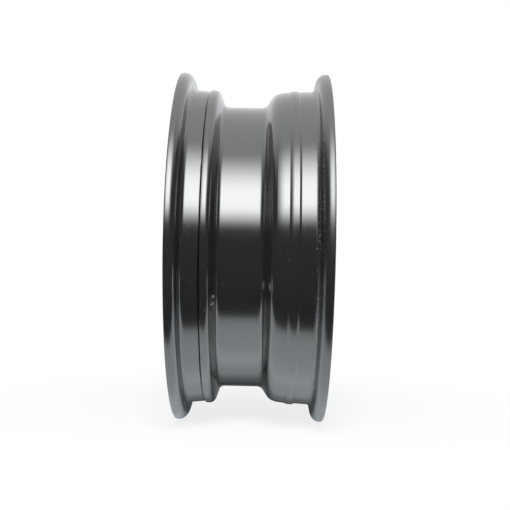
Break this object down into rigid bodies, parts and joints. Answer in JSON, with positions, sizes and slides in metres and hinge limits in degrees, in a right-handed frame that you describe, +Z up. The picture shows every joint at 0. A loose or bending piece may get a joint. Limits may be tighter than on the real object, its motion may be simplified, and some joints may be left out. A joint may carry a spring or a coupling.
{
  "type": "steel wheel",
  "caption": "Pressed steel road wheel: a drop-centre rim with curled flanges, humped bead seats and a valve hole, welded to a vented centre disc with conical bolt seats.",
  "frame": {"origin": "on the spin axis, midway between the rim's flanges", "axes": "+Y along the spin axis towards the outboard face, +Z up"},
  "size_m": [0.364, 0.1508, 0.3638],
  "materials": {
    "rim_enamel": "gloss dark graphite stoving enamel on rolled steel",
    "disc_enamel": "gloss dark graphite stoving enamel on pressed steel",
    "weld_enamel": "gloss dark graphite stoving enamel over weld metal"
  },
  "bodies": {
    "root": {"rim": "rim_enamel", "centre_disc": "disc_enamel", "weld_beads": "weld_enamel"}
  },
  "joints": []
}
